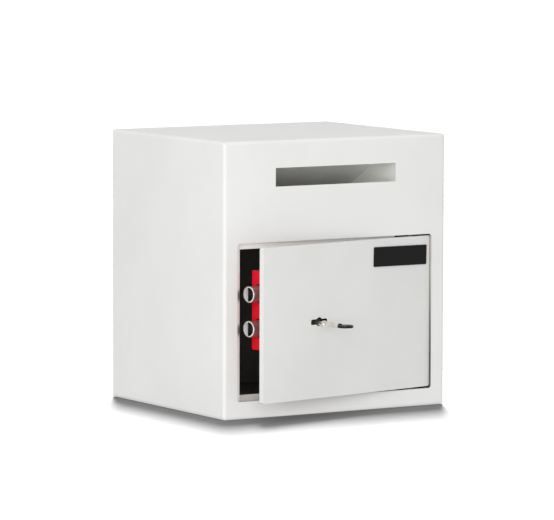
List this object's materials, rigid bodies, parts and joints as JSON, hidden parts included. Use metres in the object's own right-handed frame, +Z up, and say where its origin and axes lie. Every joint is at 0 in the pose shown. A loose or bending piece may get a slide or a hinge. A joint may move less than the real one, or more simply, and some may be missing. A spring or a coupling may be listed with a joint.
{
  "type": "deposit safe",
  "caption": "Under-counter steel deposit safe with a slot and chute above a right-hinged, key-locked door standing ajar, with round locking bolts behind a red cover.",
  "frame": {"origin": "middle of the cabinet's underside, in the plane that stands on the floor", "axes": "+X to the viewer's right, +Y from the front to the back, +Z up"},
  "size_m": [0.35, 0.3931, 0.37],
  "materials": {
    "grey_paint": "semi-gloss light grey powder coat",
    "inner_paint": "thin grey coat on inner steel parts",
    "red_paint": "satin red powder coat",
    "polished_steel": "turned and nickel plated",
    "zinc_steel": "bright zinc plate",
    "hardened_steel": "hardened and oiled, dark",
    "brass": "pressed and machined brass",
    "bush_plastic": "black nylon",
    "badge_black": "plain black, bare",
    "key_steel": "nickel plated, slightly worn",
    "mat_felt": "dark needle felt"
  },
  "bodies": {
    "cabinet": {"left_side": "grey_paint", "right_side": "grey_paint", "top_plate": "grey_paint", "base_plate": "grey_paint", "back_plate": "grey_paint", "front_plate": "grey_paint", "bolt_keeper_jamb": "grey_paint", "stop_angle_top": "grey_paint", "stop_angle_bottom": "grey_paint", "hinge_lug_top": "inner_paint", "hinge_lug_bottom": "inner_paint", "hinge_collar": "brass", "chute_baffle": "inner_paint", "chute_ramp": "inner_paint", "chute_cheek_left": "inner_paint", "chute_cheek_right": "inner_paint", "anti_fish_teeth": "inner_paint", "floor_mat": "mat_felt"},
    "door": {"door_leaf": "grey_paint", "hinge_block_top": "inner_paint", "hinge_block_bottom": "inner_paint", "hinge_pin_top": "polished_steel", "hinge_pin_bottom": "polished_steel", "hinge_dog_bar": "inner_paint", "drill_plate": "hardened_steel", "bolt_guide": "zinc_steel", "bolt_bushes": "bush_plastic", "boltwork_cover": "red_paint", "cover_pillars": "zinc_steel", "cover_screws": "zinc_steel", "lock_case": "zinc_steel", "lock_cover": "zinc_steel", "lock_screws": "zinc_steel", "drum_plate": "zinc_steel", "lever_pivot": "zinc_steel", "badge_plate": "badge_black"},
    "boltwork": {"locking_bolts": "polished_steel", "bolt_bar": "zinc_steel", "bolt_screws": "zinc_steel", "lock_bolt": "brass", "tab_screws": "zinc_steel"},
    "drum": {"lock_drum": "brass"},
    "lever_pack": {"levers": "brass", "lever_springs": "zinc_steel"},
    "key": {"key": "key_steel"}
  },
  "joints": [
    {"name": "door_hinge", "type": "hinge", "parent": "cabinet", "child": "door", "pos_m": [0.1275, -0.136, 0.129], "axis": [0, 0, 1], "range_deg": [-10.5, 100]},
    {"name": "key_turn", "type": "hinge", "parent": "door", "child": "drum", "pos_m": [-0.04644, -0.18248, 0.1262], "axis": [0.1822, -0.9833, 0], "range_deg": [0, 180]},
    {"name": "bolt_throw", "type": "slide", "parent": "door", "child": "boltwork", "axis": [-0.9833, -0.1822, 0], "range_m": [0, 0.018]},
    {"name": "key_withdraw", "type": "slide", "parent": "drum", "child": "key", "axis": [0.1822, -0.9833, 0], "range_m": [0, 0.06]},
    {"name": "lever_lift", "type": "hinge", "parent": "door", "child": "lever_pack", "pos_m": [-0.02343, -0.16397, 0.1522], "axis": [0.1822, -0.9833, 0], "range_deg": [0, 5]}
  ],
  "couplings": [
    {"joint": "key_turn", "follows": "bolt_throw", "rad_per_m": 174.53}
  ]
}
